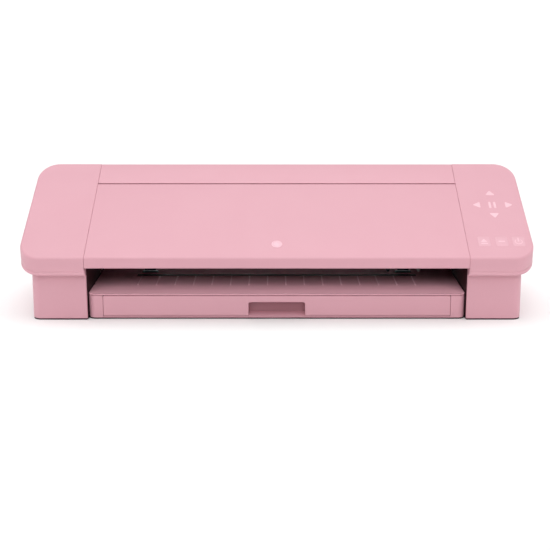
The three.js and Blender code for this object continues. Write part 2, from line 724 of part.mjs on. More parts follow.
function beltLoop(radius) {
  const shape = new THREE.Shape();
  shape.moveTo(-PULLEY_X, PULLEY_Y - radius);
  shape.lineTo(PULLEY_X, PULLEY_Y - radius);
  shape.absarc(PULLEY_X, PULLEY_Y, radius, -Math.PI / 2, Math.PI / 2);
  shape.lineTo(-PULLEY_X, PULLEY_Y + radius);
  shape.absarc(-PULLEY_X, PULLEY_Y, radius, Math.PI / 2, 1.5 * Math.PI);
  return shape;
}
const beltShape = beltLoop(PULLEY_R + 0.3 + BELT_T);
beltShape.holes.push(beltLoop(PULLEY_R + 0.3));
const beltGeometry = new THREE.ExtrudeGeometry(beltShape, { depth: BELT_H, bevelEnabled: false });
add("carriage_belt", solid(beltGeometry.translate(0, 0, BELT_Z)), rubber);

// ---- Carriage, tools and tool locks, in the carriage's own frame ----
const railRear = RAIL_Y + RAIL_D;
const railTop = RAIL_Z + RAIL_H;
const CARRIAGE_FRONT_Y = 16;
add(
  "carriage_body",
  sideOutline(
    [
      [CARRIAGE_FRONT_Y, 51],
      [railRear - 4, 51],
      [railRear - 4, RAIL_Z - 1],
      [RAIL_Y - 1, RAIL_Z - 1],
      [RAIL_Y - 1, railTop + 1],
      [railRear + 1, railTop + 1],
      [railRear + 1, railTop - 8],
      [railRear + 3.5, railTop - 8],
      [railRear + 3.5, BELT_Z - 2],
      [CARRIAGE_FRONT_Y, BELT_Z - 2],
    ],
    [-CARRIAGE_HALF + 3, CARRIAGE_HALF - 3],
  ),
  innerPlastic,
  carriage,
);
const strandY = PULLEY_Y - PULLEY_R - 0.3 - BELT_T; // outer face of the front strand
const clampBlock = block([-10, 10], [strandY - 3, strandY + BELT_T + 3], [BELT_Z - 1.7, BELT_Z + BELT_H + 2.5]);
add(
  "belt_clamp",
  clampBlock.subtract(block([-11, 11], [strandY - 0.4, strandY + BELT_T + 0.4], [BELT_Z - 0.4, 110])),
  aluminium,
  carriage,
);
// The cover is an open-bottomed cap over the tools' rear half and the body's front.
const COVER_Z = [66, 104];
function carriageCover() {
  const outer = planBlock([-CARRIAGE_HALF, CARRIAGE_HALF], [2, 40.5], COVER_Z, { fl: 6, fr: 6 });
  const inner = block([-CARRIAGE_HALF + 2, CARRIAGE_HALF - 2], [4, 38.5], [COVER_Z[0] - 1, COVER_Z[1] - 2]);
  const faces = [-TOOL_X, TOOL_X].reduce(
    (body, x) => body.subtract(block([x - 14, x + 14], [0, 15.6], [COVER_Z[0] - 1, 92])),
    outer.subtract(inner),
  );
  return faces.subtract(block([-FAR, FAR], [CARRIAGE_FRONT_Y - 0.3, FAR], [0, BELT_Z - 1.7]));
}
add("carriage_cover", carriageCover(), whitePlastic, carriage);

const PLUNGER_Z = [58, 80];
function plunger(x) {
  const holder = planBlock([x - 13, x + 13], [-13.5, 13], PLUNGER_Z, { fl: 6, fr: 6 });
  return holder.subtract(rodZ(CARTRIDGE_R + 0.3, [0, 100], x, 0));
}
const cartridgeProfile = [
  [33.5, 0],
  [33.5, 1.2],
  [40, 4.5],
  [46, 9],
  [56, 9],
  [57.5, CARTRIDGE_R],
  [84, CARTRIDGE_R],
  [84, 12.2],
  [89, 12.2],
  [90.5, 10.8],
  [90.5, 0],
];
const TOOLS = [
  { number: 1, x: -TOOL_X, cartridge: "blade_cartridge", colour: steel },
  { number: 2, x: TOOL_X, cartridge: "tool_adapter", colour: whitePlastic },
];
for (const { number, x, cartridge, colour } of TOOLS) {
  add(`plunger_${number}`, plunger(x), innerPlastic, carriage);
  add(cartridge, turnedZ(cartridgeProfile, x, 0, 24), colour, carriage);
  const tab = planBlock([x - 6, x + 6], [-19.5, -13.8], [64, 75], { fl: 2, fr: 2 });
  add(`tool_lock_${number}`, tab, badgePlastic, carriage);
}

// ---- Roll drawer ----
function drawerFront() {
  const faceY = [PLATFORM_FRONT_Y - 0.2, PLATFORM_FRONT_Y + 2.8];
  const pocketX = NOTCH_X + 2;
  const pocketRear = faceY[0] + NOTCH_DEPTH;
  const face = block([-DRAWER_X, DRAWER_X], faceY, [DRAWER_BOTTOM_Z, DRAWER_TOP_Z]);
  const pocket = block([-pocketX, pocketX], [faceY[0], pocketRear + 2], [DRAWER_BOTTOM_Z, NOTCH_TOP_Z + 2]);
  const finger = block([-NOTCH_X, NOTCH_X], [faceY[0] - 1, pocketRear], [0, NOTCH_TOP_Z]);
  return face.add(pocket).subtract(finger);
}
add("drawer_front", drawerFront(), pinkShell);

const TRAY_FRONT_Y = PLATFORM_FRONT_Y + 3.1;
const TRAY_Z = [4, 23];
function drawerTray() {
  const outer = block([-TRAY_X, TRAY_X], [TRAY_FRONT_Y, TRAY_REAR_Y], TRAY_Z);
  const inside = block([-TRAY_X + 2, TRAY_X - 2], [TRAY_FRONT_Y + 2, TRAY_REAR_Y - 2], [TRAY_Z[0] + 1.5, 30]);
  const pocketX = NOTCH_X + 2.4;
  const pocketRear = PLATFORM_FRONT_Y - 0.2 + NOTCH_DEPTH + 2.4;
  const surround = block([-pocketX - 2, pocketX + 2], [TRAY_FRONT_Y, pocketRear + 2], [TRAY_Z[0], NOTCH_TOP_Z + 3.8]);
  let body = outer.subtract(inside).add(surround);
  body = body.subtract(block([-pocketX, pocketX], [-FAR, pocketRear], [0, FAR]));
  for (const y of ROD_YS) body = body.subtract(rodX(2.3, [-TRAY_X - 1, TRAY_X + 1], y, ROD_Z, 16));
  return body;
}
add("drawer_tray", drawerTray(), innerPlastic);
for (const [i, label] of ["front", "rear"].entries()) {
  const rod = turnedX(
    [
      [-TRAY_X + 0.5, 0],
      [-TRAY_X + 0.5, 2],
      [-TRAY_X + 4, 2],
      [-TRAY_X + 4, ROD_R],
      [TRAY_X - 4, ROD_R],
      [TRAY_X - 4, 2],
      [TRAY_X - 0.5, 2],
      [TRAY_X - 0.5, 0],
    ],
    ROD_YS[i],
    ROD_Z,
    20,
  );
  add(`roll_rod_${label}`, rod, rubber);
}
const guideHoles = ROD_YS.map((y) => ({ y, z: ROD_Z, r: ROD_R + 0.5 }));
const guideOutline = [
  [ROD_YS[0] - 9, 7],
  [ROD_YS[1] + 9, 7],
  [ROD_YS[1] + 9, 19],
  [ROD_YS[1] + 5, 22.5],
  [ROD_YS[0] - 5, 22.5],
  [ROD_YS[0] - 9, 19],
];
for (const [label, side] of SIDES) {
  add(`roll_guide_${label}`, sideOutline(guideOutline, span(side, GUIDE_X - 3, GUIDE_X), guideHoles), whitePlastic);
}

// ---- Electronics in the right end housing ----
function mainBoard() {
  const board = block([262, 263.6], [-72, 8], [10, 62]);
  const chips = [
    [-40, 30, 7],
    [-14, 44, 5],
    [-58, 50, 4],
  ];
  return chips.reduce(
    (body, [y, z, half]) => body.add(block([260, 262.5], [y - half, y + half], [z - half, z + half])),
    board,
  );
}
add("main_board", mainBoard(), boardGreen);
for (const { name, x, z } of PORTS) {
  const shell = rodY(5.6, [REAR_Y - 13, REAR_Y - 0.6], x, z, 20);
  const socket =
    name === "usb_port"
      ? block([x - 3.2, x + 3.2], [REAR_Y - 9, REAR_Y], [z - 3, z + 3])
      : rodY(3.2, [REAR_Y - 9, REAR_Y], x, z, 16);
  add(name, shell.subtract(socket), innerPlastic);
}

export default machine;
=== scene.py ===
# Looks for the desktop cutting machine: finer shells, drawer, touch marks and mechanism details over
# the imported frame, with the studio round it. Lengths in the builders are millimetres.
import json
import math

import bmesh
import bpy
from mathutils import Matrix, Vector

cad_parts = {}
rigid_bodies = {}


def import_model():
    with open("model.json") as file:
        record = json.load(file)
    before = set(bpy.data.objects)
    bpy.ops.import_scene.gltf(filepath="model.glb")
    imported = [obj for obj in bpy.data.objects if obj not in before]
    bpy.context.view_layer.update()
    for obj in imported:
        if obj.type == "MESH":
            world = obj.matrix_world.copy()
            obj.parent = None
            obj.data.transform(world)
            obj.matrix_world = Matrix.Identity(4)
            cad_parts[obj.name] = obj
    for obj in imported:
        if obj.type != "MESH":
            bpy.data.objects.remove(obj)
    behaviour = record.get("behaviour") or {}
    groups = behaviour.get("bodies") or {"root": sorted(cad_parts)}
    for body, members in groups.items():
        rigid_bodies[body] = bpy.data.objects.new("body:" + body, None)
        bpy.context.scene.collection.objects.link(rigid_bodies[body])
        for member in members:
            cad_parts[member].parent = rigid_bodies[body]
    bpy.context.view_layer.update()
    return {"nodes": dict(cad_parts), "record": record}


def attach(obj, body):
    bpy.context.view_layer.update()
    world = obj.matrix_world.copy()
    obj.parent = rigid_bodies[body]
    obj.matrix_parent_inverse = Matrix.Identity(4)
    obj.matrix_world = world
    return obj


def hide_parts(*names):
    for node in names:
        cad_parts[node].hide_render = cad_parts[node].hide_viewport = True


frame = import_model()
nodes = frame["nodes"]

# ---- Dimensions shared with the frame, in millimetres ----
SLOPE = math.radians(27.8)
FRONT_Y = -97.5
FRONT_Z = 72.4
TOP_REAR_Y = FRONT_Y + 154
WING_X = 285
WING_INNER_X = 211.62
WING_DROP = 20.4
WING_CORNER = 24
LID_X = 211.38
HOUSING_X = 272
OPENING_X = 210.7
HOUSING_FRONT_Y = -89.5
HOUSING_CORNER = 10
DRAWER_Z = 3.4
REAR_Y = 97.5
NOSE_Y = -86.5
NOSE_CORNER = 8
PLATFORM_Z = 29
DRAWER_X = 193.7
NOTCH_X = 31.5
NOTCH_TOP_Z = 19.2

# ---- The visual model's own: the set-back foot of the shells, coloured dark as a painted shadow line, and the nose of the platform ----
BASE_Z = 0.05
RIM_Z = 1.5
APRON_RIM_Z = 1.4
RIM_INSET = 0.3
NOSE_REAR_Y = -84.9
ROLLER_X = 152
RIB_COUNT = 16
RIB_PITCH = 21.2


def top_z(y):
    """Height of the sloped top above the table."""
    return FRONT_Z + (y - FRONT_Y) * math.tan(SLOPE)


def on_slope(s, n):
    """(y, z) of the point s up the slope from the front edge and n square to it."""
    return (
        FRONT_Y + s * math.cos(SLOPE) - n * math.sin(SLOPE),
        FRONT_Z + s * math.sin(SLOPE) + n * math.cos(SLOPE),
    )


# ---- Material nodes ----
class Nodes:
    """A material's node tree, with short ways to add and join its nodes."""

    def __init__(self, name, colour, roughness, metallic=0.0):
        self.material = bpy.data.materials.new(name)
        self.material.use_nodes = True
        self.tree = self.material.node_tree
        self.shader = self.tree.nodes["Principled BSDF"]
        self.shader.inputs["Base Color"].default_value = (*colour, 1)
        self.shader.inputs["Roughness"].default_value = roughness
        self.shader.inputs["Metallic"].default_value = metallic
        self.colour = colour

    def add(self, kind, **values):
        node = self.tree.nodes.new(kind)
        for key, value in values.items():
            if key in node.inputs:
                node.inputs[key].default_value = value
            else:
                setattr(node, key, value)
        return node

    def join(self, source, target):
        self.tree.links.new(source, target)

    def place(self, scale=(1, 1, 1)):
        """Object coordinates, stretched by scale."""
        where = self.add("ShaderNodeTexCoord")
        mapping = self.add("ShaderNodeMapping", Scale=scale)
        self.join(where.outputs["Object"], mapping.inputs["Vector"])
        return mapping.outputs["Vector"]

    def noise(self, scale, detail=3.0, stretch=(1, 1, 1)):
        texture = self.add("ShaderNodeTexNoise", Scale=scale, Detail=detail)
        self.join(self.place(stretch), texture.inputs["Vector"])
        return texture.outputs["Fac"]

    def remap(self, value, low, high, start=0.3, end=0.7):
        node = self.add("ShaderNodeMapRange")
        for key, number in (("From Min", start), ("From Max", end), ("To Min", low), ("To Max", high)):
            node.inputs[key].default_value = number
        self.join(value, node.inputs["Value"])
        return node.outputs["Result"]

    def blend(self, factor, first, second):
        """A colour between two, each an RGB triple or another node's output."""
        mix = self.add("ShaderNodeMix", data_type="RGBA")
        self.join(factor, mix.inputs["Factor"])
        for socket, colour in ((mix.inputs[6], first), (mix.inputs[7], second)):
            if isinstance(colour, tuple):
                socket.default_value = (*colour, 1)
            else:
                self.join(colour, socket)
        return mix.outputs[2]

    def bump(self, height, strength, distance):
        node = self.add("ShaderNodeBump", Strength=strength, Distance=distance)
        self.join(height, node.inputs["Height"])
        if self.shader.inputs["Normal"].is_linked:
            self.join(self.shader.inputs["Normal"].links[0].from_socket, node.inputs["Normal"])
        self.join(node.outputs["Normal"], self.shader.inputs["Normal"])

    def set(self, socket, value):
        self.join(value, self.shader.inputs[socket])


def shade(colour, factor):
    return tuple(min(1.0, c * factor) for c in colour)


def moulded_plastic(name, colour, roughness, grain=0.12, worn_and_highlit_edges=True):
    """Moulded plastic: spark-eroded grain, faint flow marks in the colour, edges glossier from handling and lighter
    in colour as a painted highlight.
    """
    m = Nodes(name, colour, roughness)
    flow = m.noise(9, 4, (0.4, 1, 1))
    body = m.blend(m.remap(flow, 0, 1), shade(colour, 0.972), shade(colour, 1.022))
    speck = m.remap(m.noise(2600, 2), 0, 1, 0.42, 0.7)
    body = m.blend(speck, body, shade(colour, 0.965))
    polish = m.remap(m.noise(35, 5), roughness - 0.04, roughness + 0.05)
    if worn_and_highlit_edges:
        edge = m.add("ShaderNodeAttribute", attribute_name="edge").outputs["Fac"]
        # Lighter colour along bends: a painted edge highlight; the lower roughness below is the polish of handling.
        body = m.blend(m.remap(edge, 0, 0.3, 0, 1), body, shade(colour, 1.09))
        less = m.add("ShaderNodeMath", operation="MULTIPLY_ADD")
        m.join(edge, less.inputs[0])
        less.inputs[1].default_value = -0.09
        m.join(polish, less.inputs[2])
        polish = less.outputs[0]
    m.set("Base Color", body)
    m.set("Roughness", polish)
    m.bump(m.noise(1500, 2), grain, 0.00006)
    return m.material


def brushed_metal(name, colour, roughness, stretch=(0.02, 1, 1)):
    m = Nodes(name, colour, roughness, 1.0)
    lines = m.noise(900, 3, stretch)
    stains = m.noise(28, 5)
    m.set("Base Color", m.blend(m.remap(stains, 0, 1), shade(colour, 0.86), shade(colour, 1.06)))
    m.set("Roughness", m.remap(lines, roughness - 0.08, roughness + 0.12))
    m.bump(lines, 0.25, 0.00003)
    return m.material


def rubber(name, colour):
    m = Nodes(name, colour, 0.85)
    dust = m.remap(m.noise(60, 6), 0, 1, 0.45, 0.75)
    m.set("Base Color", m.blend(dust, colour, shade(colour, 1.9)))
    m.set("Roughness", m.remap(m.noise(120, 4), 0.75, 0.95))
    m.bump(m.noise(1100, 3), 0.4, 0.0001)
    return m.material


def circuit_board():
    m = Nodes("circuit_board", (0.02, 0.13, 0.06), 0.35)
    tracks = m.add("ShaderNodeTexBrick", Scale=160, Mortar=(0.05, 0.3, 0.12, 1))
    tracks.inputs["Color1"].default_value = (0.015, 0.1, 0.045, 1)
    tracks.inputs["Color2"].default_value = (0.025, 0.15, 0.07, 1)
    m.join(m.place((1, 1, 1)), tracks.inputs["Vector"])
    pads = m.add("ShaderNodeTexVoronoi", Scale=240)
    m.join(m.place(), pads.inputs["Vector"])
    pad = m.remap(pads.outputs["Distance"], 1, 0, 0.1, 0.14)
    m.set("Base Color", m.blend(pad, tracks.outputs["Color"], (0.7, 0.55, 0.25)))
    m.set("Metallic", pad)
    m.bump(tracks.outputs["Fac"], 0.3, 0.00005)
    return m.material


def motor_can():
    """Black-oxided steel with the lines of its laminations."""
    m = Nodes("motor_can", (0.05, 0.05, 0.055), 0.45, 0.9)
    lines = m.add("ShaderNodeTexWave", Scale=260, Distortion=0.3)
    m.join(m.place(), lines.inputs["Vector"])
    m.set("Base Color", m.blend(m.noise(40, 4), (0.035, 0.035, 0.04), (0.09, 0.09, 0.1)))
    m.set("Roughness", m.remap(m.noise(300, 3), 0.38, 0.55))
    m.bump(lines.outputs["Fac"], 0.2, 0.0001)
    return m.material


def printed_mark():
    """The pale ink of the touch marks."""
    m = Nodes("printed_mark", (0.82, 0.51, 0.575), 0.38)
    m.set("Base Color", m.blend(m.noise(700, 3), (0.81, 0.495, 0.56), (0.83, 0.525, 0.59)))
    m.set("Roughness", m.remap(m.noise(500, 2), 0.34, 0.44))
    return m.material


def frosted_mark():
    """The fainter ink round the lower touch marks."""
    m = Nodes("frosted_mark", (0.71, 0.39, 0.452), 0.42)
    m.set("Base Color", m.blend(m.noise(600, 3), (0.7, 0.382, 0.444), (0.72, 0.4, 0.462)))
    m.set("Roughness", m.remap(m.noise(500, 2), 0.38, 0.48))
    return m.material


PINK = (0.668, 0.346, 0.406)
pink = moulded_plastic("pink_abs", PINK, 0.46)
# The body pink made lighter for the platform plate: painted light standing in for the front light falling on it.
pink_with_painted_light = moulded_plastic("pink_abs_with_painted_light", shade(PINK, 1.12), 0.62)
pink_with_painted_light.node_tree.nodes["Principled BSDF"].inputs["Specular IOR Level"].default_value = 0.15
# Ribs in a much lighter pink: a painted highlight where they catch the light.
rib_painted_highlight = moulded_plastic("rib_abs_painted_highlight", (0.95, 0.55, 0.63), 0.5)
# Darker pink for the notch's hood and back: painted shade of the deep recess.
painted_recess_shade = moulded_plastic("painted_recess_shade_abs", (0.44, 0.2, 0.235), 0.6, 0.12, False)
# Dark plastic of the inner parts; on the shells' and apron's bottom bands it is a painted shadow line.
dark = moulded_plastic("dark_abs_and_painted_shadow", (0.024, 0.013, 0.015), 0.6, 0.3, False)
# Near-black red for the housings' inner walls by the opening, the lid's underside and the lid ribs: painted shade
# of the machine's dark interior.
painted_interior_shade = moulded_plastic("painted_interior_shade_plastic", (0.035, 0.006, 0.009), 0.6, 0.3, False)
for inner in (dark, painted_interior_shade):
    inner.node_tree.nodes["Principled BSDF"].inputs["Specular IOR Level"].default_value = 0.2
white = moulded_plastic("white_acetal", (0.72, 0.7, 0.69), 0.42, 0.15, False)
badge = moulded_plastic("badge_plastic", (0.82, 0.5, 0.57), 0.34, 0.05)
black_rubber = rubber("black_rubber", (0.025, 0.024, 0.025))
steel = brushed_metal("zinc_steel", (0.55, 0.56, 0.58), 0.34)
aluminium = brushed_metal("anodised_aluminium", (0.3, 0.3, 0.31), 0.42)
brass = brushed_metal("machined_brass", (0.62, 0.44, 0.17), 0.3, (1, 0.05, 1))
board = circuit_board()
motor = motor_can()
mark = printed_mark()
faint_mark = frosted_mark()

SLOT_MATERIALS = {
    "pink_shell": pink,
    "inner_plastic": dark,
    "rubber_feet_and_rollers": black_rubber,
    "white_plastic": white,
    "badge_plastic": badge,
    "circuit_board": board,
    "motor_case": motor,
    "steel": steel,
    "aluminium": aluminium,
    "brass": brass,
}


# ---- Mesh builders ----
def finish_mesh(name, bm, material, body, replaces=(), sharp=32):
    """Turns a bmesh in millimetres into a piece that rides on a body."""
    bmesh.ops.remove_doubles(bm, verts=bm.verts, dist=0.002)
    bmesh.ops.recalc_face_normals(bm, faces=bm.faces)
    bmesh.ops.scale(bm, vec=(0.001, 0.001, 0.001), verts=bm.verts)
    # How much the surface bends at each point; the moulded plastics lighten their colour there as a painted
    # highlight.
    layer = bm.verts.layers.float.new("edge")
    for v in bm.verts:
        bends = [e.calc_face_angle(0) for e in v.link_edges if len(e.link_faces) == 2]
        v[layer] = min(1.0, max(bends, default=0) / math.radians(28))
    mesh = bpy.data.meshes.new(name)
    bm.to_mesh(mesh)
    bm.free()
    mesh.shade_smooth()
    mesh.set_sharp_from_angle(angle=math.radians(sharp))
    mesh.materials.append(material)
    piece = bpy.data.objects.new(name, mesh)
    bpy.context.scene.collection.objects.link(piece)
    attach(piece, body)
    if replaces:
        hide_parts(*replaces)
    return piece


def line_with(piece, material, test):
    """Gives the faces whose middle and normal (in millimetres) pass the test a second material."""
    piece.data.materials.append(material)
    for face in piece.data.polygons:
        if test(*(face.center * 1000), face.normal):
            face.material_index = len(piece.data.materials) - 1


def skin(bm, rings, closed=False):
    """Faces between rings of points, with the first and last ring capped unless the loft is closed."""
    made = [[bm.verts.new(p) for p in ring] for ring in rings]
    pairs = list(zip(made, made[1:])) + ([(made[-1], made[0])] if closed else [])
    for low, high in pairs:
        for i in range(len(low)):
            j = (i + 1) % len(low)
            bm.faces.new((low[i], low[j], high[j], high[i]))
    if not closed:
        bm.faces.new(made[0][::-1])
        bm.faces.new(made[-1])
    return bm


def rounded_plan(x0, x1, y0, y1, corners, steps=8):
    """A rounded rectangle's points, anticlockwise; corners holds its radii from front-left round to rear-left."""
    points = []
    for k, radius in enumerate(corners):
        r = max(radius, 0.06)
        cx = x0 + r if k in (0, 3) else x1 - r
        cy = y0 + r if k in (0, 1) else y1 - r
        for i in range(steps + 1):
            a = math.radians(180 + 90 * k + 90 * i / steps)
            points.append((cx + r * math.cos(a), cy + r * math.sin(a)))
    return points


def fillet(radius, steps=4):
    """(inset, drop) pairs of a quarter round, from the flat face over to the wall."""
    angles = [math.pi / 2 * i / steps for i in range(steps + 1)]
    return [(radius * (1 - math.sin(a)), radius * (1 - math.cos(a))) for a in angles]


def rounded_polygon(corners, steps=5):
    """Points of a closed outline from (u, v, radius) corners."""
    points = []
    count = len(corners)
    for i, (u, v, radius) in enumerate(corners):
        here = Vector((u, v))
        before = (Vector(corners[i - 1][:2]) - here).normalized()
        after = (Vector(corners[(i + 1) % count][:2]) - here).normalized()
        if radius <= 0:
            points.append((u, v))
            continue
        half = before.angle(after) / 2
        reach = radius / math.tan(half)
        centre = here + (before + after).normalized() * (radius / math.sin(half))
        start, end = here + before * reach, here + after * reach
        a0 = math.atan2(*(start - centre).yx)
        a1 = math.atan2(*(end - centre).yx)
        turn = (a1 - a0 + math.pi) % (2 * math.pi) - math.pi
        for k in range(steps + 1):
            a = a0 + turn * k / steps
            points.append((centre.x + radius * math.cos(a), centre.y + radius * math.sin(a)))
    return points


def inset(points, distance):
    """An anticlockwise outline moved inwards."""
    if not distance:
        return list(points)
    moved = []
    count = len(points)
    for i, here in enumerate(points):
        a, b, c = Vector(points[i - 1]), Vector(here), Vector(points[(i + 1) % count])
        first, second = (b - a).normalized(), (c - b).normalized()
        n1, n2 = Vector((-first.y, first.x)), Vector((-second.y, second.x))
        middle = (n1 + n2).normalized()
        moved.append(tuple(b + middle * (distance / max(0.5, middle.dot(n1)))))
    return moved


def anticlockwise(points):
    area = sum(a[0] * b[1] - b[0] * a[1] for a, b in zip(points, points[1:] + points[:1]))
    return points if area > 0 else points[::-1]


AXES = {
    "x": lambda u, v, w: (w, u, v),
    "y": lambda u, v, w: (u, w, v),
    "z": lambda u, v, w: (u, v, w),
}


def prism(bm, outline, axis, low, high, soft=0.5, soft_low=None, steps=3):
    """An outline carried along an axis, with both end edges rounded by soft."""
    outline = anticlockwise(outline)
    place = AXES[axis]
    soft_low = soft if soft_low is None else soft_low
    rings = []
    for d, drop in fillet(soft_low, steps):
        rings.append([place(u, v, low + drop) for u, v in inset(outline, d)])
    for d, drop in fillet(soft, steps)[::-1]:
        rings.append([place(u, v, high - drop) for u, v in inset(outline, d)])
    return skin(bm, rings)


def mirrored(bm, side):
    if side < 0:
        bmesh.ops.scale(bm, vec=(-1, 1, 1), verts=bm.verts)
        bmesh.ops.reverse_faces(bm, faces=bm.faces)
    return bm


def block(bm, x, y, z, corner=0.5, soft=0.4):
    return prism(bm, rounded_polygon(
        [(x[0], y[0], corner), (x[1], y[0], corner), (x[1], y[1], corner), (x[0], y[1], corner)], 3
    ), "z", z[0], z[1], soft)


def cut_by(piece, cutters):
    """Takes boxes of (x, y, z) ranges in millimetres out of a piece."""
    for x, y, z in cutters:
        bm = bmesh.new()
        bmesh.ops.create_cube(bm, size=1)
        for v in bm.verts:
            v.co = Vector(
                [(lo + hi) / 2000 + (hi - lo) / 1000 * c for (lo, hi), c in zip((x, y, z), v.co)]
            )
        mesh = bpy.data.meshes.new("cutter")
        bm.to_mesh(mesh)
        bm.free()
        cutter = bpy.data.objects.new("cutter", mesh)
        bpy.context.scene.collection.objects.link(cutter)
        modifier = piece.modifiers.new("cut", "BOOLEAN")
        modifier.operation = "DIFFERENCE"
        modifier.solver = "EXACT"
        modifier.object = cutter
        bpy.context.view_layer.update()
        evaluated = piece.evaluated_get(bpy.context.evaluated_depsgraph_get())
        result = bpy.data.meshes.new_from_object(evaluated)
        piece.modifiers.remove(modifier)
        piece.data = result
        bpy.data.objects.remove(cutter)
    piece.data.shade_smooth()
    piece.data.set_sharp_from_angle(angle=math.radians(32))
    return piece


def soften(piece, width, segments=3, angle=34):
    """A small rounding on a CAD node's sharp edges."""
    bevel = piece.modifiers.new("soften", "BEVEL")
    bevel.width = width / 1000
    bevel.segments = segments
    bevel.limit_method = "ANGLE"
    bevel.angle_limit = math.radians(angle)
    bevel.use_clamp_overlap = True
    bevel.harden_normals = False
    return piece


SIDES = (("left", -1), ("right", 1))


# ---- Wing covers ----
def wing_ring(d, drop, rounding=True):
    """One ring of the right wing, d inside its outline. The seam, front and rear take less of a rounding."""
    front, rear, seam = (0.62, 0.3, 0.16) if rounding else (1, 1, 0)
    plan = rounded_plan(
        WING_INNER_X + seam * d, WING_X - d, FRONT_Y + front * d, TOP_REAR_Y - rear * d,
        (0.5, WING_CORNER - d, WING_CORNER - d, 0.5), 12,
    )
    points = []
    for i, (x, y) in enumerate(plan):
        corner, step = divmod(i, 13)
        turn = math.radians(90 * step / 12)
        facing = {0: (seam, front), 1: (front, 1), 2: (1, rear), 3: (rear, seam)}[corner]
        share = facing[0] * math.cos(turn) ** 2 + facing[1] * math.sin(turn) ** 2
        points.append((x, y, top_z(y) - drop * (share if rounding else 1)))
    return points


def wing_cover(label, side):
    rings = [wing_ring(4.2, 0)] + [wing_ring(d, drop) for d, drop in fillet(3.0, 6)]
    wall = ((0, 4.0), (0.1, 9.0), (0.3, 15.4))
    bead = ((0.5, 15.8), (0.75, 16.1), (0.75, 16.5), (0.45, 16.8), (0.2, 17.3))
    for d, drop in wall + bead:
        rings.append(wing_ring(d, drop, False))
    for d, drop in fillet(0.8)[::-1]:
        rings.append(wing_ring(0.25 + d, WING_DROP - drop, False))
    hole = rounded_plan(
        WING_INNER_X + 3, HOUSING_X + 0.6, HOUSING_FRONT_Y - 0.6, TOP_REAR_Y - 3,
        (0.5, HOUSING_CORNER, 4, 0.5), 12,
    )
    inner = rounded_plan(
        WING_INNER_X + 3, WING_X - 3, FRONT_Y + 3, TOP_REAR_Y - 3, (0.5, 21, 21, 0.5), 12
    )
    rings.append([(x, y, top_z(y) - WING_DROP) for x, y in hole])
    rings.append([(x, y, top_z(y) - WING_DROP + 2.5) for x, y in hole])
    rings.append([(x, y, top_z(y) - WING_DROP + 2.5) for x, y in inner])
    rings.append([(x, y, top_z(y) - 3.4) for x, y in inner])
    bm = mirrored(skin(bmesh.new(), rings), side)
    finish_mesh(f"{label}_wing_shell", bm, pink, "chassis", [f"{label}_wing_cover"])


def wing_lip(label, side):
    """The wing's front corner beside the opening, which curves in to the housing's inner face."""
    curve = []
    for i in range(9):
        a = math.pi / 2 * i / 8
        curve.append((211.6 - (211.6 - OPENING_X) * math.sin(a), 60.1 - 8 * (1 - math.cos(a))))
    outline = curve + [(212.3, 52.1), (212.3, 60.1)]
    bm = prism(bmesh.new(), outline[::-1], "y", FRONT_Y + 0.25, HOUSING_FRONT_Y + 1.5, 0.3, 0.7, 4)
    finish_mesh(f"{label}_wing_lip", mirrored(bm, side), pink, "chassis", ())


# ---- Housings ----
def rear_y(z):
    """The rear face's place at a height."""
    for (y0, z0), (y1, z1) in zip(REAR_PROFILE, REAR_PROFILE[1:]):
        if z <= z1:
            return y0 + (y1 - y0) * (z - z0) / (z1 - z0)
    return REAR_PROFILE[-1][0]


REAR_PROFILE = ((REAR_Y, 0), (REAR_Y, 53.5), (97.3, 55), (96.7, 56.6), (95.7, 58.5), (46.8, 140.2))


def housing_ring(rear_height, d, base_inset=0.0):
    """One ring of the right housing, where its rear edge is at rear_height. d insets it for the inner skin."""
    y1 = rear_y(rear_height)
    share = (rear_height - BASE_Z) / (top_z(y1) - 18.5 - BASE_Z)
    draft = 0.5 * (1 - share)
    out = draft - base_inset
    corners = (max(1.6 - d, 0.3), HOUSING_CORNER - d, HOUSING_CORNER - d, 1.6)
    wall = min(d, 2.2)
    plan = rounded_plan(
        OPENING_X + wall + base_inset, HOUSING_X - d + out, HOUSING_FRONT_Y + d - out, y1 - d + out * 0.3,
        corners, 8,
    )
    points = []
    for x, y in plan:
        rim = 10.4 if x < 213.5 else 18.5
        top = top_z(min(y, TOP_REAR_Y - 4)) - rim
        points.append((x, y, BASE_Z + share * (top - BASE_Z)))
    return points


def end_housing(label, side):
    foot = [(RIM_INSET, BASE_Z), (RIM_INSET, RIM_Z)] + [(d, RIM_Z + drop) for d, drop in fillet(0.5, 3)]
    rings = [[(x, y, z) for x, y, _ in housing_ring(BASE_Z, 0, d)] for d, z in foot]
    heights = (8, 20, 40, 53.5, 55, 56.6, 58.5, 60, 80, 100, 120, 132.6)
    rings += [housing_ring(h, 0) for h in heights]
    rings += [housing_ring(h, 3) for h in reversed((BASE_Z,) + heights)]
    bm = mirrored(skin(bmesh.new(), rings, closed=True), side)
    piece = finish_mesh(f"{label}_housing_shell", bm, pink, "chassis", [f"{label}_end_housing"])
    low, high = sorted((side * 208, side * 212.4))
    windows = [((low, high), (24, 66), (38, 100)), ((low, high), (10, 30), (12, 31))]
    if side > 0:
        windows += [((x - 6, x + 6), (90, 99), (12, 24)) for x in (232, 254)]
    cut_by(piece, windows)
    # Inner walls beside the opening: painted interior shade.
    line_with(piece, painted_interior_shade, lambda x, y, z, n: abs(x) < OPENING_X + 0.8 and n.x * side < -0.9 and y > -84)
    # The band below RIM_Z: painted shadow line under the shell.
    line_with(piece, dark, lambda x, y, z, n: z < RIM_Z)


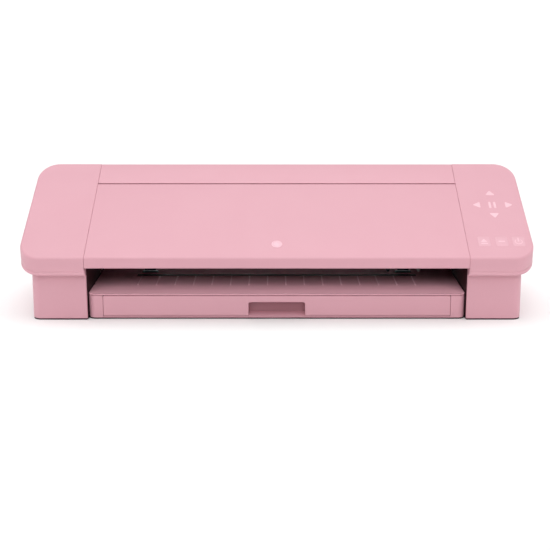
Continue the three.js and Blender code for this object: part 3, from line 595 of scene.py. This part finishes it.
# ---- Lid, strip ----
def lid():
    outline = rounded_polygon([
        (FRONT_Y, 60.4, 1.1),
        (FRONT_Y, FRONT_Z, 3.2),
        (*on_slope(134.3, 0), 1.3),
        (*on_slope(134.3, -8), 3.9),
        (*on_slope(126.3, -8), 1.5),
        (*on_slope(126.3, -3), 0.8),
        (FRONT_Y + 3, top_z(FRONT_Y + 3) - 3.4, 1.2),
        (FRONT_Y + 3, 60.4, 1.1),
    ])
    bm = prism(bmesh.new(), outline, "x", -LID_X, LID_X, 0.3)
    shell = finish_mesh("lid_shell", bm, pink, "lid", ["lid_cover"])
    # The lid's underside: painted interior shade.
    line_with(shell, painted_interior_shade, lambda x, y, z, n: n.z < -0.7 and z < top_z(y) - 2.5 and y > FRONT_Y + 3.2)
    rib = rounded_polygon([
        (*on_slope(4, -2.6), 0), (*on_slope(124, -2.6), 0), (*on_slope(124, -7), 1.5), (*on_slope(7, -7), 1.5),
    ])
    # The lid ribs take the painted interior shade.
    for i, x in enumerate((-LID_X + 1.5, -140, -70, 0, 70, 140, LID_X - 1.5)):
        bm = prism(bmesh.new(), rib, "x", x - 1, x + 1, 0.4)
        finish_mesh(f"lid_rib_{i + 1}", bm, painted_interior_shade, "lid", ())


def rear_strip():
    outline = rounded_polygon([
        (*on_slope(134.95, 0), 0.5),
        (*on_slope(136.4, -2.2), 0.4),
        (*on_slope(136.4, -9), 0.5),
        (*on_slope(138.6, -9), 0.5),
        (*on_slope(138.6, -3), 0.4),
        (TOP_REAR_Y - 3, top_z(TOP_REAR_Y - 3) - 3.4, 1),
        (TOP_REAR_Y - 3, top_z(TOP_REAR_Y) - WING_DROP, 0.8),
        (TOP_REAR_Y - 0.4, top_z(TOP_REAR_Y) - WING_DROP, 0.8),
        (TOP_REAR_Y, top_z(TOP_REAR_Y), 0.9),
    ])
    bm = prism(bmesh.new(), outline, "x", -LID_X, LID_X, 0.3)
    finish_mesh("rear_strip_shell", bm, pink, "chassis", ["rear_top_strip"])


# ---- Touch marks and badge, drawn flat and laid on the slope ----
SLAB = Matrix(((1, 0, 0, 0), (0, math.cos(SLOPE), -math.sin(SLOPE), FRONT_Y),
               (0, math.sin(SLOPE), math.cos(SLOPE), FRONT_Z), (0, 0, 0, 1)))


def on_top(name, outlines, material, thickness=0.12):
    bm = bmesh.new()
    for outline in outlines:
        prism(bm, outline, "z", -0.05, thickness, min(0.06, thickness / 2), 0, 2)
    bm.transform(SLAB)
    return finish_mesh(name, bm, material, "chassis", ())


def ring_outline(x, s, radius, width):
    """The lower arc of a ring, open at the top, as an outline."""
    outer, inner = [], []
    for i in range(25):
        a = math.radians(130 + 280 * i / 24)
        outer.append((x + radius * math.cos(a), s + radius * math.sin(a)))
        inner.append((x + (radius - width) * math.cos(a), s + (radius - width) * math.sin(a)))
    return [outer + inner[::-1]]


def arrow(x, s, turn):
    """A rounded triangle that points along turn, in degrees."""
    a = math.radians(turn)
    corners = []
    for u, v in ((5.2, 0), (-3.6, 5.8), (-3.6, -5.8)):
        corners.append((x + u * math.cos(a) - v * math.sin(a), s + u * math.sin(a) + v * math.cos(a), 1.1))
    return rounded_polygon(corners, 4)


def bar(x, s, half_x, half_s, corner=0.7):
    return rounded_polygon([
        (x - half_x, s - half_s, corner), (x + half_x, s - half_s, corner),
        (x + half_x, s + half_s, corner), (x - half_x, s + half_s, corner),
    ], 4)


def touch_marks():
    on_top("touch_up", [arrow(249.3, 115.8, 90)], mark)
    on_top("touch_left", [arrow(231.6, 93.9, 180)], mark)
    on_top("touch_right", [arrow(267.8, 93.9, 0)], mark)
    on_top("touch_down", [arrow(249.2, 75.0, 270)], mark)
    on_top("touch_pause", [bar(246.4, 93.6, 1.3, 5.6), bar(252.0, 93.6, 1.3, 5.6)], mark)
    row = 28.4
    for name, x, glyphs in (
        ("load", 230.6, [
            rounded_polygon([(230.6, row + 4.4, 0.7), (226.6, row - 1.2, 0.7), (234.6, row - 1.2, 0.7)], 4),
            bar(230.6, row - 3.8, 3.8, 0.8, 0.5),
        ]),
        ("cut", 250.2, [bar(250.2, row, 3.6, 0.9, 0.6)]),
        ("power", 269.0, [bar(269.0, row + 2.8, 0.7, 3.4, 0.5)] + ring_outline(269.0, row - 0.4, 4.4, 0.9)),
    ):
        on_top(f"touch_{name}_tile", [bar(x, row, 6.7, 8.2, 2.2)], faint_mark, 0.06)
        on_top(f"touch_{name}", glyphs, mark, 0.1)


def lid_badge():
    disc = [(6 * math.cos(math.radians(a)), 23.2 + 6 * math.sin(math.radians(a))) for a in range(0, 360, 8)]
    bm = bmesh.new()
    rings = []
    rim = ((6.0, -0.1), (6.0, 0.25), (5.8, 0.42), (5.4, 0.5), (4.9, 0.5))
    face = ((4.7, 0.36), (4.4, 0.36), (4.2, 0.52), (2.2, 0.62))
    for r, n in rim + face:
        rings.append([(x * r / 6, 23.2 + (s - 23.2) * r / 6, n) for x, s in disc])
    skin(bm, rings)
    bm.transform(SLAB)
    finish_mesh("lid_badge_disc", bm, badge, "lid", ["lid_badge"], 50)


# ---- Platform, apron, drawer ----
def platform():
    """The platform's plate with its two roller windows, made a lighter pink as painted light, its rounded nose
    apart, and the paper ribs, lighter still as a painted highlight.
    """
    edge = OPENING_X - 0.5
    front = rounded_plan(-edge, edge, NOSE_Y, 94, (NOSE_CORNER, NOSE_CORNER, 0.3, 0.3), 8)
    rings = []
    for d, drop in fillet(0.95, 4)[::-1]:
        rings.append([(x, y, PLATFORM_Z - 2 + drop) for x, y in inset(front, d)])
    for d, drop in fillet(0.95, 4)[::-1]:
        rings.append([(x, y, PLATFORM_Z - drop) for x, y in inset(front, d)])
    rings = rings[4::-1] + rings[5:]
    bm = skin(bmesh.new(), rings)
    nose = finish_mesh("platform_nose", bm.copy(), pink, "chassis", ())
    cut_by(nose, [((-300, 300), (NOSE_REAR_Y, 200), (0, 60))])
    # The plate takes the lighter pink: painted light.
    piece = finish_mesh("platform_plate", bm, pink_with_painted_light, "chassis", ["cutting_platform"])
    cut_by(piece, [((-300, 300), (-200, NOSE_REAR_Y), (0, 60))])
    cut_by(piece, [((x - 10, x + 10), (12, 28), (20, 32)) for x in (-ROLLER_X, ROLLER_X)])
    cut_by(piece, [((-165.3, 165.3), (-4.3, 4.3), (PLATFORM_Z - 0.9, 40))])
    for i in range(RIB_COUNT):
        x = (i - (RIB_COUNT - 1) / 2) * RIB_PITCH
        rib = rounded_polygon([(-49, 28.6, 0), (-47.4, 29.9, 0.6), (-7.8, 29.9, 0.8), (-6.5, 28.6, 0)], 4)
        bm = prism(bmesh.new(), rib, "x", x - 0.7, x + 0.7, 0.2)
        # Each rib takes the lighter pink: painted highlight.
        finish_mesh(f"paper_rib_{i + 1:02d}", bm, rib_painted_highlight, "chassis", ())


def apron():
    edge = OPENING_X - 0.4
    plan = rounded_plan(-edge, edge, NOSE_Y, NOSE_Y + 12, (NOSE_CORNER, NOSE_CORNER, 2, 2), 8)
    rings = [[(x, y, z) for x, y in inset(plan, RIM_INSET)] for z in (BASE_Z, APRON_RIM_Z)]
    rings += [[(x, y, APRON_RIM_Z + drop) for x, y in inset(plan, d)] for d, drop in fillet(0.5, 3)]
    rings += [[(x, y, 26.7 - drop) for x, y in inset(plan, d)] for d, drop in fillet(0.5)[::-1]]
    piece = finish_mesh("apron_frame", skin(bmesh.new(), rings), pink, "chassis", ["drawer_apron"])
    cut_by(piece, [((-206, 206), (NOSE_Y + 3, 0), (-5, 40)), ((-193.98, 193.98), (-120, 0), (DRAWER_Z - 0.5, 40))])
    # The band below APRON_RIM_Z: painted shadow line under the apron.
    line_with(piece, dark, lambda x, y, z, n: z < APRON_RIM_Z)
    bm = block(bmesh.new(), (-34.3, 34.3), (NOSE_Y + 1.4, -73.4), (APRON_RIM_Z, DRAWER_Z - 0.2), 0.5, 0.3)
    finish_mesh("notch_sill", bm, pink, "chassis", ())


def drawer():
    face = rounded_polygon([
        (-DRAWER_X, DRAWER_Z, 1.4), (-NOTCH_X, DRAWER_Z, 1.4),
        (-NOTCH_X, NOTCH_TOP_Z, 2.4), (NOTCH_X, NOTCH_TOP_Z, 2.4),
        (NOTCH_X, DRAWER_Z, 1.4), (DRAWER_X, DRAWER_Z, 1.4), (DRAWER_X, 26.5, 1.4), (-DRAWER_X, 26.5, 1.4),
    ])
    bm = prism(bmesh.new(), face, "y", NOSE_Y - 0.2, NOSE_Y + 2.8, 0.2, 0.9, 4)
    finish_mesh("drawer_face", bm, pink, "roll_drawer", ["drawer_front"])
    hood = rounded_polygon([
        (-33.5, 3.5, 0.3), (-33.5, 21.2, 3.5), (33.5, 21.2, 3.5), (33.5, 3.5, 0.3),
        (31.6, 3.5, 0.3), (31.6, 19.3, 2.4), (-31.6, 19.3, 2.4), (-31.6, 3.5, 0.3),
    ])
    bm = prism(bmesh.new(), hood, "y", NOSE_Y + 1.5, -72.8, 0.2)
    # The hood takes the darker pink: painted recess shade.
    finish_mesh("notch_hood", bm, painted_recess_shade, "roll_drawer", ())
    ramp = rounded_polygon([
        (NOSE_Y + 0.4, 3.3, 0.1), (NOSE_Y + 0.4, 3.7, 0.2), (-74.2, 5.6, 0), (-72, 5.6, 0), (-72, 3.3, 0.1),
    ])
    bm = prism(bmesh.new(), ramp, "x", -31.5, 31.5, 0.1)
    finish_mesh("notch_floor", bm, pink, "roll_drawer", ())
    bm = bmesh.new()
    rings = []
    for i in range(15):
        x = -33 + 66 * i / 14
        sag = 0.6 * (1 - (x / 33) ** 2)
        rings.append([(x, -74.6 + sag, 3.5), (x, -71.2, 3.5), (x, -71.2, 20.8), (x, -74.6 + sag * 0.4, 20.8)])
    # The back takes the darker pink: painted recess shade.
    finish_mesh("notch_back", skin(bm, rings), painted_recess_shade, "roll_drawer", ())


for label, side in SIDES:
    wing_cover(label, side)
    wing_lip(label, side)
    end_housing(label, side)
lid()
rear_strip()
touch_marks()
lid_badge()
platform()
apron()
drawer()

# ---- CAD nodes that stay: their edges softened, and each slot's finish ----
SOFT_EDGES = {
    "rear_cover": 0.8, "base_pan": 0.4, "cutting_strip": 0.15, "touch_sensor_board": 0.2, "left_side_frame": 0.3,
    "right_side_frame": 0.3, "carriage_rail": 0.5, "carriage_motor": 0.8, "idler_bracket": 0.5,
    "drawer_tray": 0.5, "carriage_body": 1.0, "carriage_cover": 0.9, "belt_clamp": 0.4, "load_lever": 0.8,
    "pinch_arm_left": 0.7, "pinch_arm_right": 0.7, "plunger_1": 0.6, "plunger_2": 0.6, "tool_lock_1": 0.7,
    "tool_lock_2": 0.7, "roll_guide_left": 0.5, "roll_guide_right": 0.5, "main_board": 0.2,
    "feed_motor_bracket": 0.3, "drive_gear": 0.15, "motor_pinion": 0.1, "drive_shaft": 0.3,
    "motor_pulley": 0.3, "idler_pulley": 0.3, "feed_motor": 1.0,
    "foot_front_left": 0.3, "foot_front_right": 0.3, "foot_rear_left": 0.3, "foot_rear_right": 0.3,
}
for row in frame["record"]["subparts"]:
    node = nodes[row["node"]]
    if node.hide_render:
        continue
    for place in node.material_slots:
        place.material = SLOT_MATERIALS[row["material_slot"]]
    node.data.shade_smooth()
    node.data.set_sharp_from_angle(angle=math.radians(32))
    if row["node"] in SOFT_EDGES:
        soften(node, SOFT_EDGES[row["node"]])


# ---- Studio: floor, daylight dome and softboxes ----
def floor():
    mesh = bpy.data.meshes.new("floor")
    mesh.from_pydata([(-400, -400, 0), (400, -400, 0), (400, 400, 0), (-400, 400, 0)], [], [(0, 1, 2, 3)])
    m = Nodes("studio_floor", (0.93, 0.93, 0.925), 0.9)
    m.shader.inputs["Specular IOR Level"].default_value = 0.1
    m.set("Roughness", m.remap(m.noise(3), 0.85, 0.95))
    mesh.materials.append(m.material)
    piece = bpy.data.objects.new("floor", mesh)
    bpy.context.scene.collection.objects.link(piece)


def backdrop():
    """A pale wall far behind and to both sides, past the floor's edge."""
    mesh = bpy.data.meshes.new("backdrop")
    plan = [(-390, -120), (-390, 390), (390, 390), (390, -120)]
    mesh.from_pydata(
        [(x, y, z) for z in (-1, 60) for x, y in plan], [], [(0, 1, 5, 4), (1, 2, 6, 5), (2, 3, 7, 6)]
    )
    m = Nodes("backdrop_paper", (0.93, 0.93, 0.93), 0.9)
    m.set("Roughness", m.remap(m.noise(3), 0.85, 0.95))
    m.shader.inputs["Emission Color"].default_value = (1, 1, 1, 1)
    m.shader.inputs["Emission Strength"].default_value = 0.7
    mesh.materials.append(m.material)
    piece = bpy.data.objects.new("backdrop", mesh)
    bpy.context.scene.collection.objects.link(piece)


def dome(stops, key, key_height):
    """A dome of light in (sine of the elevation, radiance) stops, with a round soft key in front of the machine."""
    world = bpy.data.worlds.new("studio")
    world.use_nodes = True
    tree = world.node_tree
    where = tree.nodes.new("ShaderNodeTexCoord")
    split = tree.nodes.new("ShaderNodeSeparateXYZ")
    tree.links.new(where.outputs["Generated"], split.inputs[0])
    peak = max(value for _, value in stops)
    ramp = tree.nodes.new("ShaderNodeValToRGB")
    while len(ramp.color_ramp.elements) < len(stops):
        ramp.color_ramp.elements.new(0.5)
    for element, (height, value) in zip(ramp.color_ramp.elements, stops):
        element.position = height
        element.color = (value / peak, value / peak, value / peak, 1)
    tree.links.new(split.outputs["Z"], ramp.inputs["Fac"])
    aim = tree.nodes.new("ShaderNodeVectorMath")
    aim.operation = "DOT_PRODUCT"
    aim.inputs[1].default_value = (0, -math.cos(math.radians(key_height)), math.sin(math.radians(key_height)))
    tree.links.new(where.outputs["Generated"], aim.inputs[0])
    lobe = tree.nodes.new("ShaderNodeMapRange")
    lobe.interpolation_type = "SMOOTHSTEP"
    for socket, number in (
        ("From Min", math.cos(math.radians(26))), ("From Max", math.cos(math.radians(8))),
        ("To Min", 0), ("To Max", key / peak),
    ):
        lobe.inputs[socket].default_value = number
    tree.links.new(aim.outputs["Value"], lobe.inputs["Value"])
    total = tree.nodes.new("ShaderNodeVectorMath")
    total.operation = "ADD"
    tree.links.new(ramp.outputs["Color"], total.inputs[0])
    tree.links.new(lobe.outputs["Result"], total.inputs[1])
    tree.links.new(total.outputs["Vector"], tree.nodes["Background"].inputs["Color"])
    tree.nodes["Background"].inputs["Strength"].default_value = peak
    bpy.context.scene.world = world


def softbox(name, place, aim, size, power, only=()):
    """A soft area light. With only, it lights just those pieces, as a flagged-off studio fill does."""
    light = bpy.data.lights.new(name, "AREA")
    light.shape = "RECTANGLE"
    light.size, light.size_y = size
    light.energy = power
    lamp = bpy.data.objects.new(name, light)
    lamp.location = place
    lamp.rotation_euler = (Vector(aim) - Vector(place)).to_track_quat("-Z", "Y").to_euler()
    bpy.context.scene.collection.objects.link(lamp)
    if only:
        lit = bpy.data.collections.new(f"lit_by_{name}")
        for piece in only:
            lit.objects.link(piece)
        lamp.light_linking.receiver_collection = lit


floor()
backdrop()
dome(((0, 0.04), (0.45, 0.08), (0.7, 0.4), (0.9, 2.2), (1, 2.2)), 3.25, 34)
softbox("side_left", (-1.3, -0.1, 0.35), (0, 0, 0.08), (0.9, 0.6), 1.5)
softbox("side_right", (1.3, -0.1, 0.35), (0, 0, 0.08), (0.9, 0.6), 1.5)
mouth = [piece for piece in bpy.data.objects if piece.name.startswith(("platform_plate", "paper_rib"))]
softbox("mouth_fill", (0, -1.5, 0.82), (0, -0.08, 0.03), (2.4, 0.5), 20, mouth)

lens = bpy.data.cameras.new("camera")
lens.sensor_width = 36
lens.lens = 72
lens.clip_end = 2000
camera = bpy.data.objects.new("camera", lens)
camera.location = (-0.00197, -1.2684, 0.3452)
camera.rotation_euler = (math.radians(90 - 14), 0, 0)
bpy.context.scene.collection.objects.link(camera)
bpy.context.scene.camera = camera
bpy.context.scene.view_settings.view_transform = "Standard"
